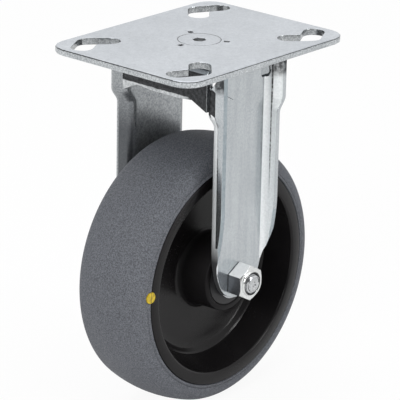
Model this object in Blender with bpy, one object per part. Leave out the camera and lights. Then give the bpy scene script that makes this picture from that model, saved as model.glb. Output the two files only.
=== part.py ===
"""Fixed castor: a pressed fork riveted under a bolt-on plate, carrying a tyred wheel on rollers.

Units are metres and +Z is up. The wheel stands on z = 0 under the origin and rolls along X.
Its axle lies along Y, and the axle's nut is on the -Y side, which is called near here.
"""

import math

import bmesh
import bpy
from mathutils import Matrix, Vector

# Running and seating clearance between separate pieces
CLEARANCE = 0.0003

# Wheel
WHEEL_RADIUS = 0.080
TYRE_WIDTH = 0.050
TREAD_CROWN_RADIUS = 0.0745
TREAD_SHOULDER_RADIUS = 0.0091
TYRE_THICKNESS = 0.0132
RIM_STANDS_OUT = 0.0007
TYRE_LOCK_DEPTH = 0.0030
TYRE_LOCK_HALF_WIDTH = 0.0130
RIM_FACE_WIDTH = 0.0078
RIM_LIP_ROUND = 0.0016
DISH_WALL_LEAN = 0.0071
DISH_FLOOR_HALF_WIDTH = 0.0092
DISC_HALF_THICKNESS = 0.0060
HUB_RADIUS = 0.0215
HUB_STANDS_OUT = 0.0020
HUB_EDGE_ROUND = 0.0010
DISH_FILLET = 0.0040

# Marker plug in the side of the wheel
PLUG_RADIUS = 0.0034
PLUG_LENGTH = 0.0030
PLUG_STANDS_OUT = 0.0002
PLUG_TURN = math.radians(175.8)

# Top plate
PLATE_LENGTH = 0.140
PLATE_WIDTH = 0.108
PLATE_THICKNESS = 0.0040
PLATE_CORNER_RADIUS = 0.0120
PLATE_EDGE_ROUND = 0.0006
HEADROOM = 0.0545
SLOT_HALF_WIDTH = 0.0063
# Ends and bend of a slot's centre line, from the plate's short and long edges
SLOT_INNER_END_INSET = (0.0315, 0.0197)
SLOT_BEND_INSET = (0.0220, 0.0113)
SLOT_OUTER_END_INSET = (0.0105, 0.0177)

# Stakes: tongues sheared out of the plate and pressed down into the crown
STAKE_LENGTH = 0.0038
STAKE_WIDTH = 0.0032
STAKE_DEPTH = 0.0022
STAKE_CIRCLE_RADIUS = 0.0160
STAKE_TURNS = (math.radians(60), math.radians(180), math.radians(300))

# Fork sheet and legs
SHEET = 0.0033
BEND_INSIDE_RADIUS = 0.0032
LEG_WIDTH = 0.0500
FLANGE_DEPTH = 0.0105
FLANGE_TAPER_ABOVE_AXLE = 0.0500
FLANGE_END_ABOVE_AXLE = 0.0080
NOSE_RADIUS = 0.0186
NOSE_CENTRE_ABOVE_AXLE = 0.0078
NOSE_SHOULDER_ABOVE_AXLE = 0.0280

# Crown, with heights measured down from the plate's underside
CROWN_WIDTH = 0.0600
FLARE_TOP = 0.0275
FLARE_BOTTOM = 0.0365
SKIRT_EDGE = 0.0222
SKIRT_RISE = 0.0010
SKIRT_RISE_INSIDE_LEG = 0.0128
SKIRT_DIP = 0.0278
SKIRT_DIP_PAST_LEG = 0.0012
FLANGE_POINT = 0.0165
FLANGE_POINT_INNER = 0.0120
RELIEF_BOTTOM = 0.0150
RELIEF_TOP = 0.0050
RELIEF_INNER = 0.0163
RELIEF_CORNER = 0.0015

# King rivet
RIVET_HEAD_RADIUS = 0.0126
RIVET_HEAD_DEPTH = 0.0030
RIVET_SHANK_RADIUS = 0.0080
RIVET_TAIL_RADIUS = 0.0125
RIVET_TAIL_HEIGHT = 0.0030
RIVET_DIMPLE_RADIUS = 0.0040
RIVET_DIMPLE_DEPTH = 0.0016

# Axle bolt and nut
BOLT_RADIUS = 0.0060
BOLT_HEAD_HEIGHT = 0.0075
BOLT_END_CHAMFER = 0.0009
HEX_ACROSS_FLATS = 0.0190
NUT_HEIGHT = 0.0095
NUT_COLLAR_HEIGHT = 0.0011
NUT_COLLAR_RADIUS = 0.0076
NUT_COLLAR_WALL = 0.0006
BOLT_STANDS_OUT = 0.0002
RING_THICKNESS = 0.0024

# Wheel bearing
AXLE_TUBE_RADIUS = 0.0100
ROLLER_RADIUS = 0.0025
ROLLER_COUNT = 10
CAGE_WALL = 0.0024
CAGE_END_WIDTH = 0.0060
SLEEVE_WALL = 0.0015
SLEEVE_SETBACK = 0.0013
SEAL_THICKNESS = 0.0034
SPACER_RADIUS = 0.0125
SPACER_THICKNESS = 0.0029

# Facets
WHEEL_STEPS = 48
TURNED_STEPS = 24
ROLLER_STEPS = 10
BEND_STEPS = 4
SHARP_ANGLE = math.radians(32)

# Points closer than this are one point, and a trimming face stays this far off the face it meets
WELD = 0.000002
TRIM = 0.00002

# Sizes that follow from the ones above
AXLE = Vector((0.0, 0.0, WHEEL_RADIUS))
RIM_RADIUS = WHEEL_RADIUS - TYRE_THICKNESS
RIM_FACE = TYRE_WIDTH / 2 + RIM_STANDS_OUT
RIM_LIP_RADIUS = RIM_RADIUS - RIM_FACE_WIDTH
DISH_FLOOR_RADIUS = RIM_LIP_RADIUS - DISH_WALL_LEAN
HUB_LENGTH = TYRE_WIDTH + 2 * HUB_STANDS_OUT
LEG_INSIDE = HUB_LENGTH / 2 + SPACER_THICKNESS + 2 * CLEARANCE
LEG_OUTSIDE = LEG_INSIDE + SHEET
FLANGE_TIP = LEG_INSIDE + FLANGE_DEPTH
BEND_OUTSIDE_RADIUS = BEND_INSIDE_RADIUS + SHEET
SKIRT_RISE_AT = LEG_OUTSIDE - SKIRT_RISE_INSIDE_LEG
SKIRT_DIP_AT = LEG_OUTSIDE + SKIRT_DIP_PAST_LEG
PLATE_UNDERSIDE = 2 * WHEEL_RADIUS + HEADROOM
CROWN_TOP = PLATE_UNDERSIDE - CLEARANCE
PLATE_TOP = PLATE_UNDERSIDE + PLATE_THICKNESS
BORE_RADIUS = BOLT_RADIUS + CLEARANCE
CONE_RADIUS = AXLE_TUBE_RADIUS + CLEARANCE
ROLLER_CIRCLE_RADIUS = CONE_RADIUS + ROLLER_RADIUS
SLEEVE_BORE_RADIUS = ROLLER_CIRCLE_RADIUS + ROLLER_RADIUS + CLEARANCE
HUB_BORE_RADIUS = SLEEVE_BORE_RADIUS + SLEEVE_WALL + CLEARANCE
SEAL_OUTSIDE = HUB_LENGTH / 2 - CLEARANCE
SEAL_INSIDE = SEAL_OUTSIDE - SEAL_THICKNESS
SLEEVE_LENGTH = 2 * (SEAL_INSIDE - SLEEVE_SETBACK)
ROLLER_LENGTH = 2 * (SEAL_INSIDE - CLEARANCE - CAGE_END_WIDTH)
NUT_FACE = LEG_OUTSIDE + CLEARANCE + NUT_HEIGHT
NUT_END = NUT_FACE + NUT_COLLAR_HEIGHT


def clear_scene():
    for item in list(bpy.data.objects):
        bpy.data.objects.remove(item, do_unlink=True)


def material(name, colour, roughness, metallic):
    made = bpy.data.materials.new(name)
    made.use_nodes = True
    shader = made.node_tree.nodes["Principled BSDF"]
    shader.inputs["Base Color"].default_value = (*colour, 1.0)
    shader.inputs["Roughness"].default_value = roughness
    shader.inputs["Metallic"].default_value = metallic
    made.diffuse_color = (*colour, 1.0)
    return made


def add_object(name, shape, finish=None):
    """Turn a bmesh into a named object whose faces point out."""
    bmesh.ops.recalc_face_normals(shape, faces=shape.faces)
    mesh = bpy.data.meshes.new(name)
    shape.to_mesh(mesh)
    shape.free()
    mesh.shade_smooth()
    mesh.set_sharp_from_angle(angle=SHARP_ANGLE)
    made = bpy.data.objects.new(name, mesh)
    bpy.context.collection.objects.link(made)
    if finish:
        mesh.materials.append(finish)
    return made


def arc(centre, radius, start, end, steps):
    """Points along an arc in a plane, from one angle in degrees to another."""
    angles = [math.radians(start + (end - start) * step / steps) for step in range(steps + 1)]
    return [(centre[0] + radius * math.cos(a), centre[1] + radius * math.sin(a)) for a in angles]


def mirrored_outline(half):
    """Close an outline that was given for positive first values only."""
    return list(half) + [(-first, second) for first, second in reversed(half) if abs(first) > 1e-9]


def prism(outline, axis, start, end):
    """Extrude a flat outline along X, Y or Z; its values are the other two axes in order."""
    place = {
        "X": lambda first, second: Vector((start, first, second)),
        "Y": lambda first, second: Vector((first, start, second)),
        "Z": lambda first, second: Vector((first, second, start)),
    }[axis]
    travel = Vector([end - start if axis == name else 0.0 for name in "XYZ"])
    shape = bmesh.new()
    base = shape.faces.new([shape.verts.new(place(first, second)) for first, second in outline])
    grown = bmesh.ops.extrude_face_region(shape, geom=[base], use_keep_orig=True)
    moved = [item for item in grown["geom"] if isinstance(item, bmesh.types.BMVert)]
    bmesh.ops.translate(shape, vec=travel, verts=moved)
    return shape


def turned(profile, steps, centre=AXLE, axis="Y"):
    """Spin a closed profile of (radius, height along the axis) once round a Y or Z axis."""
    along = Vector((0.0, 1.0, 0.0)) if axis == "Y" else Vector((0.0, 0.0, 1.0))
    middle = centre - along * centre.dot(along)
    shape = bmesh.new()
    points = [shape.verts.new(middle + Vector((radius, 0.0, 0.0)) + along * height)
              for radius, height in profile]
    edges = [shape.edges.new((a, b)) for a, b in zip(points, points[1:] + points[:1])]
    bmesh.ops.spin(shape, geom=points + edges, cent=middle, axis=along, dvec=(0, 0, 0),
                   angle=math.tau, steps=steps, use_merge=True, use_normal_flip=False)
    bmesh.ops.remove_doubles(shape, verts=shape.verts, dist=WELD)
    bmesh.ops.dissolve_degenerate(shape, dist=WELD, edges=shape.edges)
    return shape


def ring(inner, outer, start, end, steps=TURNED_STEPS, centre=AXLE):
    return turned([(inner, start), (outer, start), (outer, end), (inner, end)], steps, centre)


def combine(target, tool, operation):
    """Apply one exact Boolean to an object and remove the tool."""
    step = target.modifiers.new("combine", "BOOLEAN")
    step.operation = operation
    step.object = tool
    step.solver = "EXACT"
    evaluated = target.evaluated_get(bpy.context.evaluated_depsgraph_get())
    result = bpy.data.meshes.new_from_object(evaluated)
    target.modifiers.clear()
    target.data = result
    bpy.data.objects.remove(tool, do_unlink=True)
    shape = bmesh.new()
    shape.from_mesh(result)
    bmesh.ops.remove_doubles(shape, verts=shape.verts, dist=WELD)
    bmesh.ops.dissolve_degenerate(shape, dist=WELD, edges=shape.edges)
    shape.to_mesh(result)
    shape.free()


def cut(target, shape):
    combine(target, add_object("cutter", shape), "DIFFERENCE")


def keep_inside(target, shape):
    combine(target, add_object("keeper", shape), "INTERSECT")


def join(target, shape):
    combine(target, add_object("addition", shape), "UNION")


def finish_shading(item):
    item.data.shade_smooth()
    item.data.set_sharp_from_angle(angle=SHARP_ANGLE)


def box(x_range, y_range, z_range):
    outline = [(x_range[0], y_range[0]), (x_range[1], y_range[0]),
               (x_range[1], y_range[1]), (x_range[0], y_range[1])]
    return prism(outline, "Z", *z_range)


def rounded_rectangle(half_x, half_y, radius, centre=(0.0, 0.0)):
    outline = []
    for turn, (side_x, side_y) in enumerate(((1, 1), (-1, 1), (-1, -1), (1, -1))):
        corner = (centre[0] + side_x * (half_x - radius), centre[1] + side_y * (half_y - radius))
        outline += arc(corner, radius, 90 * turn, 90 * turn + 90, BEND_STEPS)
    return outline


def hexagon(across_flats, centre):
    """A hexagon in the XZ plane with one corner pointing up."""
    reach = across_flats / math.sqrt(3)
    return [(centre.x + reach * math.cos(math.radians(90 + 60 * side)),
             centre.z + reach * math.sin(math.radians(90 + 60 * side))) for side in range(6)]


def straight_slot(start, end, half_width):
    """Outline of a slot with round ends between two points."""
    heading = math.degrees(math.atan2(end[1] - start[1], end[0] - start[0]))
    return (arc(start, half_width, heading + 90, heading + 270, 8)
            + arc(end, half_width, heading - 90, heading + 90, 8))


def stake_outline(turn, grow):
    """One stake's rectangle on the plate, pointing away from the king rivet."""
    outward = Vector((math.cos(turn), math.sin(turn)))
    across = Vector((-outward.y, outward.x))
    middle = outward * STAKE_CIRCLE_RADIUS
    half_length = STAKE_LENGTH / 2 + grow
    half_width = STAKE_WIDTH / 2 + grow
    corners = ((-1, -1), (1, -1), (1, 1), (-1, 1))
    return [tuple(middle + outward * half_length * a + across * half_width * b)
            for a, b in corners]


def make_top_plate(finish):
    """Flat plate with rounded edges, bent bolt slots and three stakes pressed through."""
    outline = rounded_rectangle(PLATE_LENGTH / 2, PLATE_WIDTH / 2, PLATE_CORNER_RADIUS)
    shape = prism(outline, "Z", PLATE_UNDERSIDE, PLATE_TOP)
    rims = [edge for edge in shape.edges
            if abs(edge.verts[0].co.z - edge.verts[1].co.z) < PLATE_THICKNESS / 2]
    bmesh.ops.bevel(shape, geom=rims, offset=PLATE_EDGE_ROUND, segments=2, profile=0.5,
                    affect="EDGES")
    plate = add_object("top_plate", shape, finish)
    for side_x in (-1, 1):
        for side_y in (-1, 1):
            points = [(side_x * (PLATE_LENGTH / 2 - inset_x), side_y * (PLATE_WIDTH / 2 - inset_y))
                      for inset_x, inset_y in (SLOT_INNER_END_INSET, SLOT_BEND_INSET,
                                               SLOT_OUTER_END_INSET)]
            for start, end in zip(points, points[1:]):
                outline = straight_slot(start, end, SLOT_HALF_WIDTH)
                cut(plate, prism(outline, "Z", PLATE_UNDERSIDE - SHEET, PLATE_TOP + SHEET))
    cut(plate, rivet_hole())
    for turn in STAKE_TURNS:
        join(plate, prism(stake_outline(turn, 0.0), "Z", PLATE_UNDERSIDE - STAKE_DEPTH,
                          PLATE_UNDERSIDE + PLATE_THICKNESS / 4))
        pocket = prism(stake_outline(turn, -CLEARANCE), "Z", PLATE_TOP - STAKE_DEPTH,
                       PLATE_TOP + SHEET)
        cut(plate, pocket)
    finish_shading(plate)
    return plate


def rivet_head_profile(grow, top):
    """The countersunk head's side: down the cone and the shank's upper end."""
    cone_end = PLATE_TOP - RIVET_HEAD_DEPTH
    return [(0.0, top), (RIVET_HEAD_RADIUS + grow, top), (RIVET_HEAD_RADIUS + grow, PLATE_TOP),
            (RIVET_SHANK_RADIUS + grow, cone_end)]


def rivet_hole():
    """The countersunk hole that the rivet fills in the plate and the crown."""
    bottom = CROWN_TOP - 2 * SHEET
    profile = rivet_head_profile(CLEARANCE, PLATE_TOP + SHEET)
    profile += [(RIVET_SHANK_RADIUS + CLEARANCE, bottom), (0.0, bottom)]
    return turned(profile, TURNED_STEPS, Vector(), "Z")


def leg_section(half_width, side):
    """One leg cut level: a channel that opens away from the wheel."""
    bend_y = LEG_INSIDE + BEND_OUTSIDE_RADIUS
    bend_x = half_width - BEND_OUTSIDE_RADIUS
    inner_x = half_width - SHEET
    outline = [(-half_width, FLANGE_TIP)]
    outline += arc((-bend_x, bend_y), BEND_OUTSIDE_RADIUS, 180, 270, BEND_STEPS)
    outline += arc((bend_x, bend_y), BEND_OUTSIDE_RADIUS, 270, 360, BEND_STEPS)
    outline += [(half_width, FLANGE_TIP), (inner_x, FLANGE_TIP)]
    outline += arc((bend_x, bend_y), BEND_INSIDE_RADIUS, 360, 270, BEND_STEPS)
    outline += arc((-bend_x, bend_y), BEND_INSIDE_RADIUS, 270, 180, BEND_STEPS)
    outline += [(-inner_x, FLANGE_TIP)]
    return [(x, side * y) for x, y in outline]


def leg(side):
    """Loft one leg up to the middle of the crown's sheet, flaring out below the crown."""
    flare_bottom = PLATE_UNDERSIDE - FLARE_BOTTOM
    flare_top = PLATE_UNDERSIDE - FLARE_TOP
    levels = [(AXLE.z - NOSE_RADIUS, LEG_WIDTH / 2)]
    for step in range(7):
        share = step / 6
        eased = share * share * (3 - 2 * share)
        half_width = LEG_WIDTH / 2 + (CROWN_WIDTH - LEG_WIDTH) / 2 * eased
        levels.append((flare_bottom + (flare_top - flare_bottom) * share, half_width))
    levels.append((CROWN_TOP - SHEET / 2, CROWN_WIDTH / 2))
    shape = bmesh.new()
    loops = []
    for height, half_width in levels:
        loops.append([shape.verts.new((x, y, height)) for x, y in leg_section(half_width, side)])
    for lower, upper in zip(loops, loops[1:]):
        for index, corner in enumerate(lower):
            shape.faces.new((lower[index - 1], corner, upper[index], upper[index - 1]))
    shape.faces.new(loops[0])
    shape.faces.new(loops[-1])
    return shape


def crown():
    """The bridge between the legs: an upside-down channel whose skirts dip to the legs."""
    half = CROWN_WIDTH / 2
    low = PLATE_UNDERSIDE - SKIRT_DIP - SHEET
    bend_x = half - BEND_OUTSIDE_RADIUS
    bend_z = CROWN_TOP - BEND_OUTSIDE_RADIUS
    section = [(half, low)] + arc((bend_x, bend_z), BEND_OUTSIDE_RADIUS, 0, 90, BEND_STEPS)
    hollow = [(half - SHEET, low)] + arc((bend_x, bend_z), BEND_INSIDE_RADIUS, 0, 90, BEND_STEPS)
    outer = [(-x, z) for x, z in reversed(section)]
    inner = [(-x, z) for x, z in reversed(hollow)]
    outline = section + outer + list(reversed(hollow + inner))
    end = LEG_OUTSIDE - SHEET / 2
    return prism(outline, "Y", -end, end)


def skirt_arch():
    """The space under the skirts, as an outline of (y, z)."""
    half = [(0.0, PLATE_UNDERSIDE - SKIRT_EDGE),
            (SKIRT_RISE_AT / 2, PLATE_UNDERSIDE - SKIRT_EDGE),
            (SKIRT_RISE_AT, PLATE_UNDERSIDE - SKIRT_EDGE + SKIRT_RISE),
            (SKIRT_DIP_AT, PLATE_UNDERSIDE - SKIRT_DIP),
            (SKIRT_DIP_AT + LEG_WIDTH, PLATE_UNDERSIDE - SKIRT_DIP),
            (SKIRT_DIP_AT + LEG_WIDTH, AXLE.z)]
    return prism(mirrored_outline(half), "X", -CROWN_WIDTH, CROWN_WIDTH)


def side_outline():
    """The fork seen along X: rounded shoulders, pointed flange tops and tapered flange ends."""
    shoulder = LEG_OUTSIDE + TRIM - BEND_OUTSIDE_RADIUS
    half = arc((shoulder, CROWN_TOP + TRIM - BEND_OUTSIDE_RADIUS), BEND_OUTSIDE_RADIUS,
               90, 0, BEND_STEPS)
    half += [(LEG_OUTSIDE + TRIM, PLATE_UNDERSIDE - FLANGE_POINT_INNER),
             (FLANGE_TIP + TRIM, PLATE_UNDERSIDE - FLANGE_POINT)]
    rise = FLANGE_TIP - LEG_OUTSIDE
    run = FLANGE_TAPER_ABOVE_AXLE - FLANGE_END_ABOVE_AXLE
    taper_radius = (run * run + rise * rise) / (2 * rise)
    sweep = math.degrees(math.asin(run / taper_radius))
    taper_centre = (FLANGE_TIP + TRIM - taper_radius, AXLE.z + FLANGE_TAPER_ABOVE_AXLE)
    half += arc(taper_centre, taper_radius, 0, -sweep, 2 * BEND_STEPS)
    half += [(LEG_OUTSIDE + TRIM, AXLE.z - 2 * NOSE_RADIUS)]
    return prism(mirrored_outline(half), "X", -CROWN_WIDTH, CROWN_WIDTH)


def front_outline():
    """The fork seen along Y: each leg narrows to a round nose below the axle."""
    centre_z = AXLE.z + NOSE_CENTRE_ABOVE_AXLE
    rise = NOSE_SHOULDER_ABOVE_AXLE - NOSE_CENTRE_ABOVE_AXLE
    reach = math.hypot(LEG_WIDTH / 2, rise)
    start = math.degrees(math.atan2(rise, LEG_WIDTH / 2) - math.acos(NOSE_RADIUS / reach))
    nose = arc((0.0, centre_z), NOSE_RADIUS, start, -90, 2 * BEND_STEPS)
    half = [(CROWN_WIDTH, CROWN_TOP + SHEET), (CROWN_WIDTH, PLATE_UNDERSIDE - FLARE_BOTTOM - SHEET),
            (LEG_WIDTH / 2 + SHEET / 8, PLATE_UNDERSIDE - FLARE_BOTTOM - SHEET),
            (LEG_WIDTH / 2 + SHEET / 8, AXLE.z + NOSE_SHOULDER_ABOVE_AXLE)]
    return prism(mirrored_outline(half + nose), "Y", -PLATE_WIDTH, PLATE_WIDTH)


def make_fork(finish):
    """Both legs and the crown, pressed and folded from one sheet."""
    fork = add_object("fork", crown(), finish)
    cut(fork, skirt_arch())
    for side in (-1, 1):
        join(fork, leg(side))
    keep_inside(fork, side_outline())
    keep_inside(fork, front_outline())
    relief_outer = CROWN_WIDTH / 2 - SHEET - CLEARANCE
    relief_x = (RELIEF_INNER + relief_outer) / 2
    relief_z = PLATE_UNDERSIDE - (RELIEF_TOP + RELIEF_BOTTOM) / 2
    for side_x in (-1, 1):
        outline = rounded_rectangle((relief_outer - RELIEF_INNER) / 2,
                                    (RELIEF_BOTTOM - RELIEF_TOP) / 2, RELIEF_CORNER,
                                    (side_x * relief_x, relief_z))
        cut(fork, prism(outline, "Y", -PLATE_WIDTH, PLATE_WIDTH))
    cut(fork, rivet_hole())
    for turn in STAKE_TURNS:
        cut(fork, prism(stake_outline(turn, CLEARANCE), "Z", CROWN_TOP - 2 * SHEET,
                        CROWN_TOP + SHEET))
    cut(fork, prism(arc((AXLE.x, AXLE.z), BORE_RADIUS, 0, 345, 23), "Y",
                    -PLATE_WIDTH, PLATE_WIDTH))
    finish_shading(fork)
    return fork


def make_king_rivet(finish):
    """Flush countersunk head with a hexagon dimple, and a closed head under the crown."""
    tail_seat = CROWN_TOP - SHEET - CLEARANCE
    tail_end = tail_seat - RIVET_TAIL_HEIGHT
    head = rivet_head_profile(0.0, PLATE_TOP)
    profile = [head[0]] + head[2:]
    profile += [(RIVET_SHANK_RADIUS, tail_seat), (RIVET_TAIL_RADIUS, tail_seat),
                (RIVET_TAIL_RADIUS, tail_seat - RIVET_TAIL_HEIGHT / 2),
                (RIVET_TAIL_RADIUS - RIVET_TAIL_HEIGHT / 2, tail_end), (0.0, tail_end)]
    rivet = add_object("king_rivet", turned(profile, TURNED_STEPS, Vector(), "Z"), finish)
    dimple = [(RIVET_DIMPLE_RADIUS * math.cos(math.radians(60 * side)),
               RIVET_DIMPLE_RADIUS * math.sin(math.radians(60 * side))) for side in range(6)]
    cut(rivet, prism(dimple, "Z", PLATE_TOP - RIVET_DIMPLE_DEPTH, PLATE_TOP + SHEET))
    finish_shading(rivet)
    return rivet


def hexagon_block(name, finish, start, end, outer_face, cap_radius):
    """A hexagon whose outer corners are turned down by a 30 degree cone."""
    block = add_object(name, prism(hexagon(HEX_ACROSS_FLATS, AXLE), "Y", start, end), finish)
    inner_face = start if outer_face == end else end
    reach = HEX_ACROSS_FLATS
    slope = (reach - cap_radius) * math.tan(math.radians(30))
    heading = 1 if outer_face > inner_face else -1
    cone = [(0.0, outer_face), (cap_radius, outer_face), (reach, outer_face - heading * slope),
            (reach, inner_face - heading * SHEET), (0.0, inner_face - heading * SHEET)]
    keep_inside(block, turned(cone, TURNED_STEPS))
    return block


def make_axle_bolt(finish):
    """Hexagon head on the far side, and a plain shank that runs through to the nut."""
    seat = LEG_OUTSIDE + CLEARANCE
    head_end = seat + BOLT_HEAD_HEIGHT
    bolt = hexagon_block("axle_bolt", finish, seat, head_end, head_end, HEX_ACROSS_FLATS / 2)
    thread_end = -(NUT_END + BOLT_STANDS_OUT)
    overlap = seat + BOLT_HEAD_HEIGHT / 2
    shank = [(0.0, thread_end), (BOLT_RADIUS - BOLT_END_CHAMFER, thread_end),
             (BOLT_RADIUS, thread_end + BOLT_END_CHAMFER), (BOLT_RADIUS, overlap), (0.0, overlap)]
    join(bolt, turned(shank, 24))
    finish_shading(bolt)
    return bolt


def make_axle_nut(finish):
    """Lock nut: a chamfered hexagon with a round collar that holds the locking ring."""
    seat = -(LEG_OUTSIDE + CLEARANCE)
    nut = hexagon_block("axle_nut", finish, -NUT_FACE, seat, -NUT_FACE, HEX_ACROSS_FLATS / 2)
    collar = [(0.0, -NUT_END), (NUT_COLLAR_RADIUS - NUT_COLLAR_WALL, -NUT_END),
              (NUT_COLLAR_RADIUS, -NUT_END + NUT_COLLAR_WALL), (NUT_COLLAR_RADIUS, seat - SHEET),
              (0.0, seat - SHEET)]
    join(nut, turned(collar, TURNED_STEPS))
    recess = [(0.0, -NUT_END - SHEET), (NUT_COLLAR_RADIUS - NUT_COLLAR_WALL, -NUT_END - SHEET),
              (NUT_COLLAR_RADIUS - NUT_COLLAR_WALL, -NUT_END + RING_THICKNESS),
              (BORE_RADIUS, -NUT_END + RING_THICKNESS), (BORE_RADIUS, seat + SHEET),
              (0.0, seat + SHEET)]
    cut(nut, turned(recess, 24))
    finish_shading(nut)
    return nut


def make_tyre(finish):
    """Crowned tread and round shoulders over a bead that locks into the rim's groove."""
    half = TYRE_WIDTH / 2
    crown_centre = WHEEL_RADIUS - TREAD_CROWN_RADIUS
    shoulder_y = half - TREAD_SHOULDER_RADIUS
    shoulder_r = crown_centre + math.sqrt(
        (TREAD_CROWN_RADIUS - TREAD_SHOULDER_RADIUS) ** 2 - shoulder_y ** 2)
    lean = math.degrees(math.atan2(shoulder_y, shoulder_r - crown_centre))
    lock = RIM_RADIUS - TYRE_LOCK_DEPTH
    side = [(RIM_RADIUS, RIM_FACE), (RIM_RADIUS, TYRE_LOCK_HALF_WIDTH + TYRE_LOCK_DEPTH),
            (lock, TYRE_LOCK_HALF_WIDTH)]
    tread = arc((crown_centre, 0.0), TREAD_CROWN_RADIUS, 0, lean, 3)
    tread += arc((shoulder_r, shoulder_y), TREAD_SHOULDER_RADIUS, lean, 90, 5)[1:]
    right = tread + side
    profile = right + [(r, -y) for r, y in reversed(right) if y > 1e-9]
    tyre = add_object("tyre", turned(profile, WHEEL_STEPS), finish)
    cut(tyre, plug_bore())
    finish_shading(tyre)
    return tyre


def plug_place():
    return Vector((RIM_RADIUS * math.cos(PLUG_TURN), 0.0,
                   AXLE.z + RIM_RADIUS * math.sin(PLUG_TURN)))


def plug_face():
    """The plug's outer face on the near side of the wheel."""
    return -(RIM_FACE + PLUG_STANDS_OUT)


def plug_bore():
    middle = plug_place()
    outline = arc((middle.x, middle.z), PLUG_RADIUS + CLEARANCE, 0, 345, 23)
    return prism(outline, "Y", plug_face() - SHEET, plug_face() + PLUG_LENGTH + CLEARANCE)


def make_wheel_centre(finish):
    """Rim, dished disc and hub in one moulding, the same on both sides."""
    seat = RIM_RADIUS - CLEARANCE
    lock = seat - TYRE_LOCK_DEPTH
    lip = (RIM_LIP_RADIUS + RIM_LIP_ROUND, RIM_FACE - RIM_LIP_ROUND)
    right = [(lock, 0.0), (lock, TYRE_LOCK_HALF_WIDTH),
             (seat, TYRE_LOCK_HALF_WIDTH + TYRE_LOCK_DEPTH), (seat, RIM_FACE)]
    right += arc(lip, RIM_LIP_ROUND, 90, 180, 2)
    right += [(DISH_FLOOR_RADIUS + DISH_FILLET / 8, DISH_FLOOR_HALF_WIDTH + DISH_FILLET / 2),
              (DISH_FLOOR_RADIUS - DISH_FILLET / 8, DISH_FLOOR_HALF_WIDTH),
              (DISH_FLOOR_RADIUS - DISH_FILLET, DISC_HALF_THICKNESS + DISH_FILLET / 8)]
    fillet = (HUB_RADIUS + DISH_FILLET, DISC_HALF_THICKNESS + DISH_FILLET)
    right += arc(fillet, DISH_FILLET, 270, 180, 2)
    right += [(HUB_RADIUS - HUB_EDGE_ROUND / 2, HUB_LENGTH / 2 - HUB_EDGE_ROUND),
              (HUB_RADIUS - HUB_EDGE_ROUND, HUB_LENGTH / 2), (HUB_BORE_RADIUS, HUB_LENGTH / 2)]
    profile = right + [(r, -y) for r, y in reversed(right) if y > 1e-9]
    centre = add_object("wheel_centre", turned(profile, WHEEL_STEPS), finish)
    cut(centre, plug_bore())
    finish_shading(centre)
    return centre


def make_marker_plug(finish):
    middle = plug_place()
    start = plug_face()
    profile = [(0.0, start), (PLUG_RADIUS - CLEARANCE, start),
               (PLUG_RADIUS, start + CLEARANCE), (PLUG_RADIUS, start + PLUG_LENGTH),
               (0.0, start + PLUG_LENGTH)]
    return add_object("marker_plug", turned(profile, 24, middle), finish)


def make_roller_cage(finish):
    """A plain tube with one long pocket for each roller."""
    half = SEAL_INSIDE - CLEARANCE
    inner = ROLLER_CIRCLE_RADIUS - CAGE_WALL / 2
    outer = ROLLER_CIRCLE_RADIUS + CAGE_WALL / 2
    cage = add_object("roller_cage", ring(inner, outer, -half, half, 4 * ROLLER_COUNT), finish)
    pocket_half_width = ROLLER_RADIUS + CLEARANCE
    pocket_half_length = ROLLER_LENGTH / 2 + CLEARANCE
    for index in range(ROLLER_COUNT):
        pocket = box((inner - CAGE_WALL, outer + CAGE_WALL),
                     (-pocket_half_length, pocket_half_length),
                     (-pocket_half_width, pocket_half_width))
        turn = Matrix.Rotation(roller_turn(index), 4, "Y")
        bmesh.ops.transform(pocket, matrix=Matrix.Translation(AXLE) @ turn, verts=pocket.verts)
        cut(cage, pocket)
    finish_shading(cage)
    return cage


def roller_turn(index):
    return math.tau * index / ROLLER_COUNT


def roller_place(index):
    arm = Vector((ROLLER_CIRCLE_RADIUS, 0.0, 0.0))
    return AXLE + Matrix.Rotation(roller_turn(index), 3, "Y") @ arm


def make_roller(index, finish):
    half = ROLLER_LENGTH / 2
    profile = [(0.0, -half), (ROLLER_RADIUS, -half), (ROLLER_RADIUS, half), (0.0, half)]
    return add_object(f"roller_{index + 1}", turned(profile, ROLLER_STEPS, roller_place(index)),
                      finish)


def put_origin(item, place):
    """Move an object's origin to a point without moving its shape."""
    item.data.transform(Matrix.Translation(-place))
    item.location = place


def add_pivot(name, place, parent=None):
    pivot = bpy.data.objects.new(name, None)
    pivot.empty_display_size = HUB_RADIUS
    bpy.context.collection.objects.link(pivot)
    pivot.location = place - parent.location if parent else place
    pivot.parent = parent
    return pivot


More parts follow.
